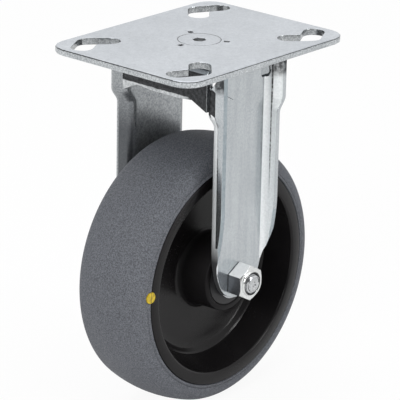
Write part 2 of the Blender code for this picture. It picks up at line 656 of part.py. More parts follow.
def main():
    clear_scene()
    plated = material("plated_steel", (0.62, 0.65, 0.67), 0.32, 1.0)
    fastener = material("plated_fastener", (0.66, 0.68, 0.68), 0.28, 1.0)
    bearing_steel = material("bearing_steel", (0.45, 0.46, 0.48), 0.22, 1.0)
    black_plastic = material("black_plastic", (0.018, 0.018, 0.019), 0.35, 0.0)
    grey_rubber = material("grey_rubber", (0.115, 0.122, 0.135), 0.75, 0.0)
    yellow_plastic = material("yellow_plastic", (0.80, 0.55, 0.02), 0.45, 0.0)
    seal_plastic = material("seal_plastic", (0.06, 0.06, 0.065), 0.50, 0.0)

    make_top_plate(plated)
    make_fork(plated)
    make_king_rivet(fastener)
    make_axle_bolt(fastener)
    make_axle_nut(fastener)
    add_object("nut_locking_ring",
               ring(BORE_RADIUS, NUT_COLLAR_RADIUS - NUT_COLLAR_WALL - CLEARANCE,
                    -NUT_END + CLEARANCE, -NUT_END + RING_THICKNESS - CLEARANCE, 24),
               seal_plastic)
    tube_end = LEG_INSIDE - CLEARANCE
    add_object("axle_tube", ring(BORE_RADIUS, AXLE_TUBE_RADIUS, -tube_end, tube_end),
               bearing_steel)
    spacer_start = HUB_LENGTH / 2 + CLEARANCE
    for name, side in (("near_spacer_washer", -1), ("far_spacer_washer", 1)):
        add_object(name, ring(CONE_RADIUS, SPACER_RADIUS, side * spacer_start, side * tube_end),
                   bearing_steel)

    wheel_pivot = add_pivot("wheel_pivot", AXLE)
    wheel_pieces = [make_tyre(grey_rubber), make_wheel_centre(black_plastic),
                    make_marker_plug(yellow_plastic)]
    wheel_pieces.append(add_object(
        "bearing_sleeve", ring(SLEEVE_BORE_RADIUS, SLEEVE_BORE_RADIUS + SLEEVE_WALL,
                               -SLEEVE_LENGTH / 2, SLEEVE_LENGTH / 2), bearing_steel))
    for name, side in (("near_hub_seal", -1), ("far_hub_seal", 1)):
        wheel_pieces.append(add_object(
            name, ring(CONE_RADIUS, HUB_BORE_RADIUS - CLEARANCE,
                       side * SEAL_INSIDE, side * SEAL_OUTSIDE), seal_plastic))
    for piece in wheel_pieces:
        put_origin(piece, AXLE)
        piece.location = (0.0, 0.0, 0.0)
        piece.parent = wheel_pivot

    cage_pivot = add_pivot("cage_pivot", AXLE)
    cage = make_roller_cage(seal_plastic)
    put_origin(cage, AXLE)
    cage.location = (0.0, 0.0, 0.0)
    cage.parent = cage_pivot
    for index in range(ROLLER_COUNT):
        roller = make_roller(index, bearing_steel)
        put_origin(roller, roller_place(index))
        roller.location = roller_place(index) - AXLE
        roller.parent = cage_pivot


main()
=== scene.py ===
"""Looks for the fixed castor: finer wheel, rounded pressings, bolt thread, finishes, light and camera."""

import math

import bmesh
import bpy
from mathutils import Matrix, Vector


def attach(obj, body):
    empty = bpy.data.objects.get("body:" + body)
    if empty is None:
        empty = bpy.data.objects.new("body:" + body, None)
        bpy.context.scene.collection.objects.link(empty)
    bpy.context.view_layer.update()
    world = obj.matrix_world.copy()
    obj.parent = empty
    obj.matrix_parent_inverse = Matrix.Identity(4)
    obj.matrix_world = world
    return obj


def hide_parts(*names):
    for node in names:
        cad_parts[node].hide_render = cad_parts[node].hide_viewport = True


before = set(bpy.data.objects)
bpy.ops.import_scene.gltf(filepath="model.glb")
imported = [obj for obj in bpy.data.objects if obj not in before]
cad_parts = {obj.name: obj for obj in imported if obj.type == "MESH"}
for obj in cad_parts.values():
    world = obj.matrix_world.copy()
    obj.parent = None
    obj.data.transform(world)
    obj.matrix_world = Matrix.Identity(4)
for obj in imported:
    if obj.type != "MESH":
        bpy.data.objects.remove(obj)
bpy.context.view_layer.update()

# The part's sizes that the finer shapes follow, with the values of its source; lengths are in metres
CLEARANCE = 0.0003
WELD = 0.000002
WHEEL_RADIUS = 0.080
TYRE_WIDTH = 0.050
TYRE_THICKNESS = 0.0132
TYRE_LOCK_DEPTH = 0.0030
TYRE_LOCK_HALF_WIDTH = 0.0130
TREAD_CROWN_RADIUS = 0.0745
TREAD_SHOULDER_RADIUS = 0.0091
RIM_STANDS_OUT = 0.0007
RIM_FACE_WIDTH = 0.0078
RIM_LIP_ROUND = 0.0016
DISH_WALL_LEAN = 0.0071
DISH_FLOOR_HALF_WIDTH = 0.0092
DISH_FILLET = 0.0040
DISC_HALF_THICKNESS = 0.0060
HUB_RADIUS = 0.0215
HUB_BORE_RADIUS = 0.0174
HUB_STANDS_OUT = 0.0020
SPACER_THICKNESS = 0.0029
PLUG_RADIUS = 0.0034
PLUG_LENGTH = 0.0030
PLUG_STANDS_OUT = 0.0002
PLUG_TURN = math.radians(175.8)
HEADROOM = 0.0545
PLATE_LENGTH = 0.140
PLATE_WIDTH = 0.108
PLATE_THICKNESS = 0.0040
SHEET = 0.0033
LEG_WIDTH = 0.0500
CROWN_WIDTH = 0.0600
FLANGE_DEPTH = 0.0105
FLARE_TOP = 0.0275
FLARE_BOTTOM = 0.0365
NUT_HEIGHT = 0.0095
NUT_COLLAR_HEIGHT = 0.0011
BOLT_RADIUS = 0.0060
BOLT_STANDS_OUT = 0.0002
ROLLER_COUNT = 10

# Sizes that follow from the ones above
AXLE = Vector((0.0, 0.0, WHEEL_RADIUS))
TYRE_HALF_WIDTH = TYRE_WIDTH / 2
RIM_RADIUS = WHEEL_RADIUS - TYRE_THICKNESS
RIM_FACE = TYRE_HALF_WIDTH + RIM_STANDS_OUT
RIM_LIP_RADIUS = RIM_RADIUS - RIM_FACE_WIDTH
DISH_FLOOR_RADIUS = RIM_LIP_RADIUS - DISH_WALL_LEAN
HUB_HALF_LENGTH = TYRE_HALF_WIDTH + HUB_STANDS_OUT
PLUG_FACE = -(RIM_FACE + PLUG_STANDS_OUT)
PLUG_PLACE = AXLE + Vector((math.cos(PLUG_TURN), 0.0, math.sin(PLUG_TURN))) * RIM_RADIUS
PLATE_UNDERSIDE = 2 * WHEEL_RADIUS + HEADROOM
PLATE_TOP = PLATE_UNDERSIDE + PLATE_THICKNESS
LEG_INSIDE = HUB_HALF_LENGTH + SPACER_THICKNESS + 2 * CLEARANCE
LEG_OUTSIDE = LEG_INSIDE + SHEET
FLANGE_TIP = LEG_INSIDE + FLANGE_DEPTH
LEG_WIDENS_FROM = PLATE_UNDERSIDE - FLARE_BOTTOM
LEG_WIDENED_AT = PLATE_UNDERSIDE - FLARE_TOP
LEG_WIDENING = (CROWN_WIDTH - LEG_WIDTH) / 2
CHANNEL_HALF_WIDTH = LEG_WIDTH / 2 - SHEET
BOLT_END = -(LEG_OUTSIDE + CLEARANCE + NUT_HEIGHT + NUT_COLLAR_HEIGHT + BOLT_STANDS_OUT)

# Limits just beside edges of the fork's solid, for fit_flanges; BEND_END also parts its finishes
CHANNEL_FLAT = 0.0184
CORNER_HOLE_FROM = 0.2019
FLANGE_CUT_FROM = 0.1975
BEND_END = 0.0371

# Facets and edge rounding of the finer pieces, and limits on angles in degrees
WHEEL_STEPS = 192
ROUND_STEPS = 64
TREAD_ARC_STEPS = 16
FILLET_STEPS = 8
PLATED_EDGE_ROUND = 0.00040
NUT_EDGE_ROUND = 0.00025
FLAT_WITHIN = 1.0
SHARP_ANGLE = 40.0
ROUNDED_SHARP_ANGLE = 35.0
THREAD_SHARP_ANGLE = 30.0
NUT_EDGE_ANGLE = 25.0

# A point this near the wheel's middle has no mirror image, and a cutter reaches this far past a face
ON_MIDDLE = 1e-9
CUT_BEYOND = 0.002

# The groove that the mould leaves beside the tyre's shoulder, and the bead's corner at the rim
GROOVE_INSIDE_SHOULDER = 0.0001
GROOVE_DEPTH = 0.00045
GROOVE_WALL = 0.0002
GROOVE_FOOT = 0.0003
GROOVE_FOOT_RISE = 0.0001
BEAD_CORNER = 0.0007
BEAD_CORNER_CUT = 0.0003
BEAD_CORNER_DROP = 0.0001

# The wheel centre's corners; the hub's are steps in from its radius and in from its end
RIM_CORNER = 0.0006
RIM_CORNER_CUT = 0.0002
HUB_CORNER = ((0.0005, 0.0010), (0.0007, 0.0004), (0.0012, 0.0))
BORE_CHAMFER = 0.0004

# The dish's two fillets, as shares of DISH_FILLET: out from its floor's radius, and out along the axle
WALL_FILLET = ((1 / 8, 1 / 2), (1 / 16, 1 / 8), (-1 / 8, 0.0), (-1 / 4, -1 / 10))
DISC_FILLET = ((-0.60, 1 / 4), (-0.75, 1 / 7), (-1.0, 1 / 16), (-2.0, 0.0))

# The bolt's turned end, past the solid's end: a face with a centre dimple and a chamfered rim
END_FACE_OUT = 0.0011
END_FACE_INSET = 0.0012
DIMPLE_FLOOR_OUT = 0.0003
DIMPLE_FOOT_OUT = 0.0005
DIMPLE_FOOT_RADIUS = 0.0011
DIMPLE_RADIUS = 0.0016
END_CHAMFER_OUT = 0.0008
END_CHAMFER_INSET = 0.0006
END_SIDE_INSET = 0.0003
END_SIDE_DEPTH = 0.0010

# The start of the bolt's thread, with half widths of its crest and root as shares of the pitch
THREAD_PITCH = 0.00175
THREAD_DEPTH = 0.00075
THREAD_TURNS = 1.5
THREAD_TURN_STEPS = 36
THREAD_STARTS_OUT = 0.0007
THREAD_START_SUNK = 0.0002
THREAD_ROOT_SUNK = 0.0008
THREAD_CREST = 0.08
THREAD_ROOT = 0.42

# Where the fork's finishes change; the skirt's painted-light lip ends from EAR_START to EAR_FULL, as x
# times y
SKIRT_FACE = 0.0295
SKIRT_LOW = 0.1860
LIP_TOP = 0.1944
LIP_RAGGED = 0.0012
LIP_FADE = 0.0002
EAR_START = 0.00050
EAR_FULL = 0.00060
BEND_SLACK = 0.0002
WEB_REACH = 0.0030
TIP_REACH = 0.0010
NOSE_EDGE_TOP = 0.160

# Least share of a face's normal along a direction for it to count as one of these parts of the fork
SKIRT_LEAN = 0.8
EAR_LEAN = 0.3
FLANGE_INSIDE_LEAN = 0.08
FLANGE_OUTSIDE_LEAN = 0.1
WEB_LEAN = 0.75
TIP_LEAN = 0.6
NOSE_EDGE_LEAN = 0.3

# Where the finishes of the plate and of the nut change
STAKES_WITHIN = 0.0220
WALL_LEAN = 0.5
OUTLINE_REACH_X = 0.009
OUTLINE_REACH_Y = 0.004
NUT_END_LEAN = 0.3
NUT_DARK_LEAN = 0.8
NUT_TOP_LEAN = 0.4
NUT_FLAT_AREA = 0.00001

# Where painted shade and the painted crease line on a leg go from least to most, by height and distance
# out, and the two shares of the painted shade outside two flanges
TOP_SHADE_HEIGHT = (0.1985, 0.2030)
TOP_SHADE_OUT = (0.0362, 0.0368)
CREASE_HALF_WIDTH = (0.00052, 0.00026)
CREASE_HEIGHT = (0.172, 0.155)
LIT_CREASE_HEIGHT = (0.125, 0.155)
FOOT_SHADE_HEIGHT = (0.112, 0.096)
FOOT_SHADE_OUT = (0.0392, 0.0386)
OUTSIDE_SHADE_HEIGHT = (0.194, 0.162)
OUTSIDE_SHADE_OUT = (0.0306, 0.0316)
OUTSIDE_SHADE_SPARED_OUT = (0.0399, 0.0391)
OUTSIDE_SHADE_SHARES = (0.10, 0.85)

# The dark line on the plate's edge and the plug's groove fade in over these distances
RIM_LINE_RAGGED = 0.0007
RIM_LINE_BELOW_TOP = (0.00055, 0.00028)
PLUG_GROOVE_HALF_WIDTH = (0.00045, 0.00015)

# Places are sheltered where less than the first share of their sky is open, and wholly by the second
SHELTER_REACH = 0.030
SHELTER_SHARES = (0.62, 0.30)

# Dark tones over the plating: painted shade where nearby surfaces shelter a place; a near black for painted
# shade under the plate and on the legs' feet, for the painted crease lines, and for the dark line under the
# plate's edge; and painted shade outside two flanges
SHELTER_SHADE = (0.060, 0.064, 0.068)
NEAR_BLACK = (0.014, 0.015, 0.017)
OUTSIDE_SHADE = (0.055, 0.059, 0.066)

# The plating's patterns: noise scales per metre, and the tones and shares of streaks, pits and specks
CLOUD_SCALE = 28.0
STREAK_SCALE = 260.0
PIT_SCALE = 420.0
SPECK_SCALE = 1000.0
GRAIN_SCALE = 1500.0
STREAK_TONES = ((0.35, 0.37, 0.38), (0.95, 0.97, 0.98))
PIT_TONES = ((0.55, 0.57, 0.58), (1.0, 1.0, 1.0))
SPECK_TONES = ((0.10, 0.11, 0.12), (0.90, 0.92, 0.93))
STREAK_SHARE = 0.10
PIT_SHARE = 0.5

# Dark and light tones of the other finishes
# The skirt's dark tones are painted shade, and its lip's pale tones painted light
SKIRT_SHADE_TONES = ((0.012, 0.013, 0.014), (0.075, 0.078, 0.083))
SKIRT_LIT_LIP_TONES = ((0.42, 0.44, 0.45), (0.75, 0.77, 0.78))
RUBBER_TONES = ((0.079, 0.084, 0.098), (0.098, 0.104, 0.122))
RUBBER_SPECKLE_TONES = ((0.046, 0.050, 0.058), (0.21, 0.22, 0.245))
BLACK_TONES = ((0.0055, 0.005, 0.0055), (0.011, 0.010, 0.0105))
YELLOW_TONES = ((0.36, 0.25, 0.004), (0.72, 0.52, 0.012))
YELLOW_GROOVE_TONE = (0.10, 0.07, 0.004)

# Depths of relief, in metres: fine grain, a coarser speckle, scuffs, and a moulding's flow
GRAIN_RELIEF = 0.0002
SPECKLE_RELIEF = 0.0003
SCUFF_RELIEF = 0.0006
FLOW_RELIEF = 0.0010

# How a metal's streaks are drawn out: not at all, up the legs, through the plate, or across a cut
EVEN = (1.0, 1.0, 1.0)
ROLLED_UPWARD = (1.0, 1.0, 0.08)
PUNCHED_THROUGH = (1.0, 1.0, 0.10)
SHEARED_ACROSS = (1.0, 0.10, 1.0)

# The camera as it was fitted to the photograph, with its place across and up from the axle
CAMERA_TURN = math.radians(-49.08)
CAMERA_RISE = math.radians(19.71)
CAMERA_ROLL = math.radians(1.16)
CAMERA_DISTANCE = 1.55254
CAMERA_ACROSS = 0.00222
CAMERA_UP = 0.03823
CAMERA_FOCAL_PIXELS = 2624.08
CAMERA_REACH = 50.0
PHOTO_PIXELS = 400
SENSOR = 36.0

# The studio; its side behind the camera is darker, which gives the bright metal its contrast
WHITE = (1.0, 1.0, 1.0)
AMBIENT = 0.46
DARK_SIDE = (-0.55, -0.80, 0.20)
DARK_SIDE_FADE = (0.60, 0.85)
DARK_SIDE_LEVEL = 0.25
FLOOR_HALF_SIZE = 6.0
FLOOR_PAINT = (0.92, 0.92, 0.92)
FLOOR_ROUGHNESS = 0.9
FLOOR_LIFT = 0.92
FLOOR_IN_GLOSS = 0.35

# Each lamp's name, place, width and height in metres, and power in watts
LAMPS = (("key", (-1.80, -0.6, 1.20), (1.0, 0.8), 17.0),
         ("fill", (0.42, -1.9, 0.80), (0.25, 0.9), 10.0),
         ("top", (0.1, 0.3, 2.0), (2.4, 2.4), 21.0))
LAMP_TARGET = (0.0, 0.0, 0.1)


def arc(centre, radius, start, end, steps):
    """Points along an arc in a plane, from one angle in degrees to another."""
    angles = [math.radians(start + (end - start) * step / steps) for step in range(steps + 1)]
    return [(centre[0] + radius * math.cos(a), centre[1] + radius * math.sin(a)) for a in angles]


def both_sides(right):
    """Close a profile of (radius, y) that was given for one side of the wheel's middle."""
    return right + [(r, -y) for r, y in reversed(right) if y > ON_MIDDLE]


def turned(profile, steps, centre=AXLE):
    """Spin a closed profile of (radius, y) once round an axis along Y."""
    shape = bmesh.new()
    rings = []
    for step in range(steps):
        turn = math.tau * step / steps
        rings.append([shape.verts.new((centre.x + r * math.cos(turn), y, centre.z + r * math.sin(turn)))
                      for r, y in profile])
    for here, there in zip(rings, rings[1:] + rings[:1]):
        for index in range(len(profile)):
            shape.faces.new((here[index - 1], here[index], there[index], there[index - 1]))
    bmesh.ops.remove_doubles(shape, verts=shape.verts, dist=WELD)
    bmesh.ops.dissolve_degenerate(shape, dist=WELD, edges=shape.edges)
    return shape


def add_object(name, shape):
    """Turn a bmesh into an object in the scene."""
    mesh = bpy.data.meshes.new(name)
    shape.to_mesh(mesh)
    shape.free()
    made = bpy.data.objects.new(name, mesh)
    bpy.context.collection.objects.link(made)
    return made


def shade(mesh, sharp):
    """Smooth shading, apart from edges sharper than an angle in degrees."""
    mesh.shade_smooth()
    mesh.set_sharp_from_angle(angle=math.radians(sharp))


def new_piece(name, shape, body, finishes, sharp=SHARP_ANGLE, replaces=()):
    """A finished piece that rides on a body and may stand for CAD nodes."""
    bmesh.ops.recalc_face_normals(shape, faces=shape.faces)
    piece = add_object(name, shape)
    for finish in finishes:
        piece.data.materials.append(finish)
    shade(piece.data, sharp)
    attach(piece, body)
    if replaces:
        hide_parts(*replaces)
    return piece


class Tree:
    """Short calls that add and link nodes in one node tree."""

    def __init__(self, tree):
        self.nodes = tree.nodes
        self.links = tree.links

    def add(self, kind, **values):
        made = self.nodes.new(kind)
        for name, value in values.items():
            setattr(made, name, value)
        return made

    def link(self, start, end):
        self.links.new(start, end)

    def feed(self, socket, value):
        """Link another node's output to a socket, or set a colour or a number on it."""
        if isinstance(value, bpy.types.NodeSocket):
            self.link(value, socket)
        elif isinstance(value, tuple):
            socket.default_value = (*value, 1.0)[:4]
        else:
            socket.default_value = value

    def math(self, kind, *values):
        made = self.add("ShaderNodeMath", operation=kind)
        for socket, value in zip(made.inputs, values):
            self.feed(socket, value)
        return made.outputs[0]

    def range(self, value, low, high, start=0.3, end=0.7):
        """A number that goes from low to high as the value goes from start to end."""
        made = self.add("ShaderNodeMapRange")
        for name, number in (("From Min", start), ("From Max", end), ("To Min", low), ("To Max", high)):
            made.inputs[name].default_value = number
        self.link(value, made.inputs["Value"])
        return made.outputs["Result"]

    def fade(self, value, start, end, share=1.0):
        """Nothing at start and a share at end, whichever of the two is the larger."""
        return self.range(value, 0.0, share, start, end)

    def show(self, share, first, second, output):
        """Show the second shader by a share, and the first by the rest."""
        made = self.add("ShaderNodeMixShader")
        for socket, value in zip(made.inputs, (share, first, second)):
            self.link(value, socket)
        self.link(made.outputs[0], self.nodes[output].inputs["Surface"])


class Nodes(Tree):
    """Short calls that build one node material."""

    def __init__(self, name):
        self.material = bpy.data.materials.new(name)
        self.material.use_nodes = True
        super().__init__(self.material.node_tree)
        self.shader = self.nodes["Principled BSDF"]
        self.place = self.add("ShaderNodeTexCoord").outputs["Object"]

    def apart(self):
        """A place's X, Y and Z, each by itself."""
        made = self.add("ShaderNodeSeparateXYZ")
        self.link(self.place, made.inputs[0])
        return made.outputs

    def out_and_height(self):
        """How far out a place is along the axle, on either side, and how high it is."""
        parts = self.apart()
        return self.math("ABSOLUTE", parts["Y"]), parts["Z"]

    def noise(self, scale, detail=3.0, roughness=0.55, stretch=EVEN):
        mapping = self.add("ShaderNodeMapping")
        mapping.inputs["Scale"].default_value = stretch
        self.link(self.place, mapping.inputs["Vector"])
        made = self.add("ShaderNodeTexNoise")
        made.inputs["Scale"].default_value = scale
        made.inputs["Detail"].default_value = detail
        made.inputs["Roughness"].default_value = roughness
        self.link(mapping.outputs["Vector"], made.inputs["Vector"])
        return made.outputs["Fac"]

    def tones(self, value, dark, light, start=0.30, end=0.70):
        """A colour that goes from dark to light as the value goes from start to end."""
        made = self.add("ShaderNodeValToRGB")
        for element, position, colour in zip(made.color_ramp.elements, (start, end), (dark, light)):
            element.position = position
            element.color = (*colour, 1.0)
        self.link(value, made.inputs["Fac"])
        return made.outputs["Color"]

    def mix(self, share, first, second, blend="MIX"):
        """A blend of two colours; the node has its share at 0, its colours at 6 and 7, its result at 2."""
        made = self.add("ShaderNodeMix", data_type="RGBA", blend_type=blend)
        self.feed(made.inputs[0], share)
        self.feed(made.inputs[6], first)
        self.feed(made.inputs[7], second)
        return made.outputs[2]

    def shelter(self):
        """1 where nearby surfaces shelter a place, such as a seam or the space under the plate; it sets
        where shade is painted.
        """
        made = self.add("ShaderNodeAmbientOcclusion", samples=8)
        made.inputs["Distance"].default_value = SHELTER_REACH
        return self.fade(made.outputs["AO"], *SHELTER_SHARES)

    def bump(self, height, strength, distance, under=None):
        made = self.add("ShaderNodeBump")
        made.inputs["Strength"].default_value = strength
        made.inputs["Distance"].default_value = distance
        self.link(height, made.inputs["Height"])
        if under:
            self.link(under, made.inputs["Normal"])
        return made.outputs["Normal"]

    def finish(self, colour, roughness, normal, metallic=0.0, specular=0.5):
        self.feed(self.shader.inputs["Base Color"], colour)
        self.feed(self.shader.inputs["Roughness"], roughness)
        self.link(normal, self.shader.inputs["Normal"])
        self.shader.inputs["Metallic"].default_value = metallic
        self.shader.inputs["Specular IOR Level"].default_value = specular
        return self.material


def flange_shade_and_crease(n, tone, crease_height):
    """Painted shade under the plate at a flange's top, and a painted dark reflection line where its bend
    ends.
    """
    out, height = n.out_and_height()
    # Painted shade at the flange's top, under the plate
    shade_mask = n.math("MULTIPLY", n.fade(height, *TOP_SHADE_HEIGHT, share=0.92), n.fade(out, *TOP_SHADE_OUT))
    patchy = n.range(n.noise(scale=420.0), low=0.6, high=1.0, start=0.35, end=0.55)
    tone = n.mix(n.math("MULTIPLY", shade_mask, patchy), tone, NEAR_BLACK)
    off = n.math("ABSOLUTE", n.math("SUBTRACT", out, BEND_END))
    # A painted dark reflection line along the end of the bend
    line = n.math("MULTIPLY", n.fade(off, *CREASE_HALF_WIDTH), n.fade(height, *crease_height))
    broken = n.range(n.noise(scale=900.0, detail=2.0), low=0.45, high=1.0, start=0.38, end=0.52)
    return n.mix(n.math("MULTIPLY", line, broken), tone, NEAR_BLACK)


def foot_shade(n, tone):
    """Painted shade beside the wheel on the leg's foot, on all but the flange's tip."""
    out, height = n.out_and_height()
    shade_mask = n.math("MULTIPLY", n.fade(height, *FOOT_SHADE_HEIGHT, share=0.93), n.fade(out, *FOOT_SHADE_OUT))
    return n.mix(shade_mask, tone, NEAR_BLACK)


def outside_flange_shade(n, tone):
    """Painted shade outside a flange and its bend, left off along the tip, and darker lower down."""
    out, height = n.out_and_height()
    shade_mask = n.math("MULTIPLY", n.fade(out, *OUTSIDE_SHADE_OUT), n.fade(out, *OUTSIDE_SHADE_SPARED_OUT))
    shade_mask = n.math("MULTIPLY", shade_mask, n.range(height, *OUTSIDE_SHADE_SHARES, *OUTSIDE_SHADE_HEIGHT))
    return n.mix(shade_mask, tone, OUTSIDE_SHADE)


def rim_line(n, tone):
    """A dark line just under the plate's top edge."""
    ragged = n.math("MULTIPLY_ADD", n.noise(scale=700.0, detail=2.0), RIM_LINE_RAGGED, n.apart()["Z"])
    start, end = (PLATE_TOP - below for below in RIM_LINE_BELOW_TOP)
    return n.mix(n.fade(ragged, start, end, share=0.85), tone, NEAR_BLACK)


def zinc(name, light, dark, rough, streaks=EVEN, metallic=0.85, sheltered=0.6, speckled=0.08,
         crease_height=None, marks=None):
    """Bright zinc plate on steel: soft clouds, fine rolling streaks, small pits and a speckle."""
    n = Nodes(name)
    cloud = n.noise(CLOUD_SCALE, detail=4.0)
    streak = n.noise(STREAK_SCALE, roughness=0.6, stretch=streaks)
    pits = n.noise(PIT_SCALE, detail=2.0, roughness=0.5)
    specks = n.noise(SPECK_SCALE, detail=2.0, roughness=0.7)
    grain = n.noise(GRAIN_SCALE, detail=2.0)
    tone = n.tones(cloud, dark, light)
    tone = n.mix(STREAK_SHARE, tone, n.tones(streak, *STREAK_TONES, start=0.35, end=0.65))
    tone = n.mix(PIT_SHARE, tone, n.tones(pits, *PIT_TONES, start=0.24, end=0.30), "MULTIPLY")
    tone = n.mix(speckled, tone, n.tones(specks, *SPECK_TONES, start=0.40, end=0.62))
    # Painted shade: the tone darkens where nearby surfaces shelter a place
    tone = n.mix(n.math("MULTIPLY", n.shelter(), sheltered), tone, SHELTER_SHADE)
    if crease_height:
        tone = flange_shade_and_crease(n, tone, crease_height)
    if marks:
        tone = marks(n, tone)
    roughness = n.range(n.mix(share=0.5, first=cloud, second=streak), low=rough - 0.06, high=rough + 0.07)
    normal = n.bump(grain, strength=0.10, distance=GRAIN_RELIEF)
    normal = n.bump(streak, strength=0.12, distance=GRAIN_RELIEF, under=normal)
    return n.finish(tone, roughness, normal, metallic)


def make_skirt():
    """The crown's skirt: painted shade under the plate, with painted light along its lower lip."""
    n = Nodes("zinc_skirt_painted_shade")
    parts = n.apart()
    ragged = n.math("MULTIPLY_ADD", n.noise(scale=300.0), LIP_RAGGED, LIP_TOP - LIP_RAGGED / 2)
    low = n.fade(n.math("SUBTRACT", ragged, parts["Z"]), -LIP_FADE, LIP_FADE)
    lip_reach = n.fade(n.math("MULTIPLY", parts["X"], parts["Y"]), EAR_FULL, EAR_START)
    lip = n.math("MULTIPLY", low, lip_reach)
    dark = n.tones(n.noise(scale=500.0, roughness=0.7), *SKIRT_SHADE_TONES, start=0.35, end=0.68)
    pale = n.tones(n.noise(scale=400.0, roughness=0.7), *SKIRT_LIT_LIP_TONES, start=0.35, end=0.65)
    roughness = n.range(lip, low=0.55, high=0.30, start=0.0, end=1.0)
    normal = n.bump(n.noise(scale=700.0, detail=2.0), strength=0.15, distance=SPECKLE_RELIEF)
    return n.finish(n.mix(lip, dark, pale), roughness, normal, metallic=0.3, specular=0.3)


def make_rubber():
    """Grey tyre rubber: matt, with a fine speckle and a slightly uneven surface."""
    n = Nodes("tyre_grey_rubber")
    cloud = n.noise(scale=35.0, detail=4.0)
    speckle = n.noise(scale=1300.0, detail=2.0, roughness=0.7)
    grey = n.tones(cloud, *RUBBER_TONES)
    speckled = n.tones(speckle, *RUBBER_SPECKLE_TONES, start=0.38, end=0.66)
    normal = n.bump(speckle, strength=0.25, distance=SPECKLE_RELIEF)
    normal = n.bump(n.noise(scale=220.0), strength=0.10, distance=SCUFF_RELIEF, under=normal)
    tone = n.mix(share=0.60, first=grey, second=speckled)
    return n.finish(tone, n.range(cloud, low=0.66, high=0.80), normal)


def make_black_plastic(name, gloss, dull, shine):
    """Black moulding with a faint flow pattern and uneven gloss."""
    n = Nodes(name)
    cloud = n.noise(scale=22.0, detail=4.0)
    fine = n.noise(scale=900.0)
    roughness = n.range(n.mix(share=0.4, first=cloud, second=fine), gloss, dull)
    normal = n.bump(fine, strength=0.06, distance=GRAIN_RELIEF)
    normal = n.bump(n.noise(scale=45.0, detail=2.0), strength=0.10, distance=FLOW_RELIEF, under=normal)
    return n.finish(n.tones(cloud, *BLACK_TONES), roughness, normal, specular=shine)


def make_plain(name, dark, light, rough, metallic=0.0):
    """A small part's finish: two close tones, uneven gloss and a fine grain."""
    n = Nodes(name)
    fine_scale = 1200.0
    cloud_scale = fine_scale / 18
    cloud = n.noise(cloud_scale)
    fine = n.noise(fine_scale, detail=2.0)
    roughness = n.range(n.mix(share=0.5, first=cloud, second=fine), low=rough - 0.07, high=rough + 0.07)
    normal = n.bump(fine, strength=0.12, distance=GRAIN_RELIEF)
    return n.finish(n.tones(cloud, dark, light), roughness, normal, metallic)


def make_yellow():
    """The marker plug's plastic, darker along the fine groove across its face."""
    n = Nodes("yellow_marker")
    cloud = n.noise(scale=420.0)
    off = n.math("ABSOLUTE", n.math("SUBTRACT", n.apart()["X"], PLUG_PLACE.x))
    tone = n.tones(cloud, *YELLOW_TONES, start=0.32, end=0.68)
    tone = n.mix(n.fade(off, *PLUG_GROOVE_HALF_WIDTH, share=0.75), tone, YELLOW_GROOVE_TONE)
    normal = n.bump(n.noise(scale=1200.0, detail=2.0), strength=0.12, distance=GRAIN_RELIEF)
    return n.finish(tone, n.range(cloud, low=0.38, high=0.52), normal)


# Finishes of the fork; its rolled sheet has two sets of values, the second a painted-light brighter copy,
# and each also comes with painted shade on the foot
ROLLED = dict(light=(0.50, 0.53, 0.55), dark=(0.42, 0.45, 0.47), rough=0.20, streaks=ROLLED_UPWARD,
              metallic=0.9, sheltered=0.15, crease_height=CREASE_HEIGHT)
ROLLED_LIT = dict(light=(0.88, 0.91, 0.92), dark=(0.78, 0.81, 0.82), rough=0.45, streaks=ROLLED_UPWARD,
                  metallic=0.30, sheltered=0.0, speckled=0.12, crease_height=LIT_CREASE_HEIGHT)
PLATED = zinc("zinc_plated_sheet", **ROLLED)
PLATED_LIT = zinc("zinc_plated_painted_light", **ROLLED_LIT)
PLATED_FOOT = zinc("zinc_plated_flange", **ROLLED, marks=foot_shade)
LIT_FOOT = zinc("zinc_painted_light_foot", **ROLLED_LIT, marks=foot_shade)
# A painted-shade copy for the web facing the wheel and the outside of two flanges
PLATED_SHADED = zinc("zinc_plated_painted_shade", light=(0.34, 0.36, 0.375), dark=(0.25, 0.265, 0.28), rough=0.30,
                   streaks=ROLLED_UPWARD, metallic=0.8, sheltered=0.3, speckled=0.22, marks=outside_flange_shade)
CUT_EDGE = zinc("zinc_cut_edge", light=(0.34, 0.40, 0.43), dark=(0.22, 0.27, 0.30), rough=0.38,
                streaks=SHEARED_ACROSS, metallic=0.7)
SKIRT = make_skirt()

# Finishes of the plate and the rivet
PLATE_FACE = zinc("zinc_plated_plate", light=(0.52, 0.55, 0.59), dark=(0.44, 0.47, 0.51), rough=0.34,
                  metallic=0.7)
PLATE_EDGE = zinc("zinc_sheared_outline", light=(0.56, 0.59, 0.61), dark=(0.34, 0.37, 0.39), rough=0.34,
                  metallic=0.7, speckled=0.35, marks=rim_line)
SLOT_WALL = zinc("zinc_punched_wall", light=(0.42, 0.44, 0.45), dark=(0.07, 0.08, 0.09), rough=0.25,
                 streaks=PUNCHED_THROUGH, metallic=0.9, speckled=0.25)
# Painted shade for the stakes' hollows and the rivet's dimple
PRESSED_SHADE = zinc("zinc_stake_painted_shade", light=(0.060, 0.063, 0.068), dark=(0.030, 0.032, 0.035), rough=0.40,
               metallic=0.5, speckled=0.10)

# Finishes of the bolt and the nut
FASTENER = zinc("zinc_plated_fastener", light=(0.78, 0.79, 0.78), dark=(0.66, 0.67, 0.66), rough=0.13,
                metallic=1.0, sheltered=0.0)
